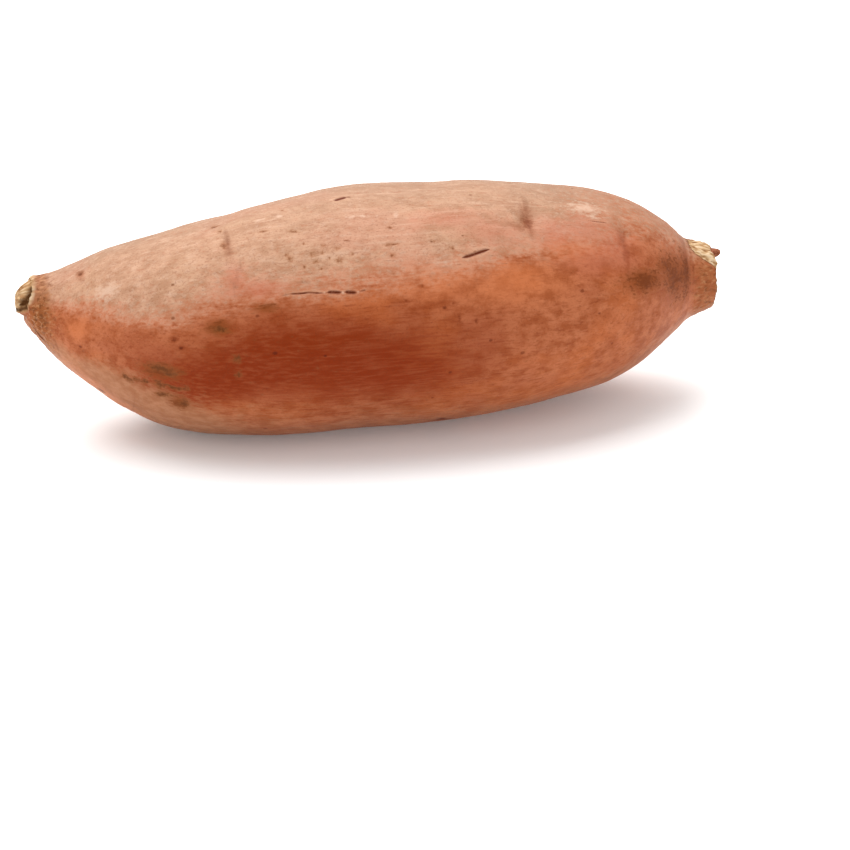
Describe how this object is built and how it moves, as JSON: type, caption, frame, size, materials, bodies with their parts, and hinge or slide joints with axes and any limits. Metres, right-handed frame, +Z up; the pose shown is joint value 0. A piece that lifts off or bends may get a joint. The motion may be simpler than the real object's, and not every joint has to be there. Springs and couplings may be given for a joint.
{
  "type": "sweet potato",
  "caption": "Whole sweet potato: a long swollen root with copper-pink skin, a broken root tip and a torn neck, lying on its belly",
  "frame": {"origin": "on the surface that the root lies on, under the middle of its bounding box", "axes": "+Z up; +X along the root from its thin broken tip to its thick neck; +Y to the far side"},
  "size_m": [0.1944, 0.0686, 0.0644],
  "materials": {
    "skin": "thin dry copper-pink skin with a faint sheen, fine flakes, small dark pores and stains, and pale cork at the broken ends"
  },
  "bodies": {
    "root": {"sweet_potato": "skin"}
  },
  "joints": []
}
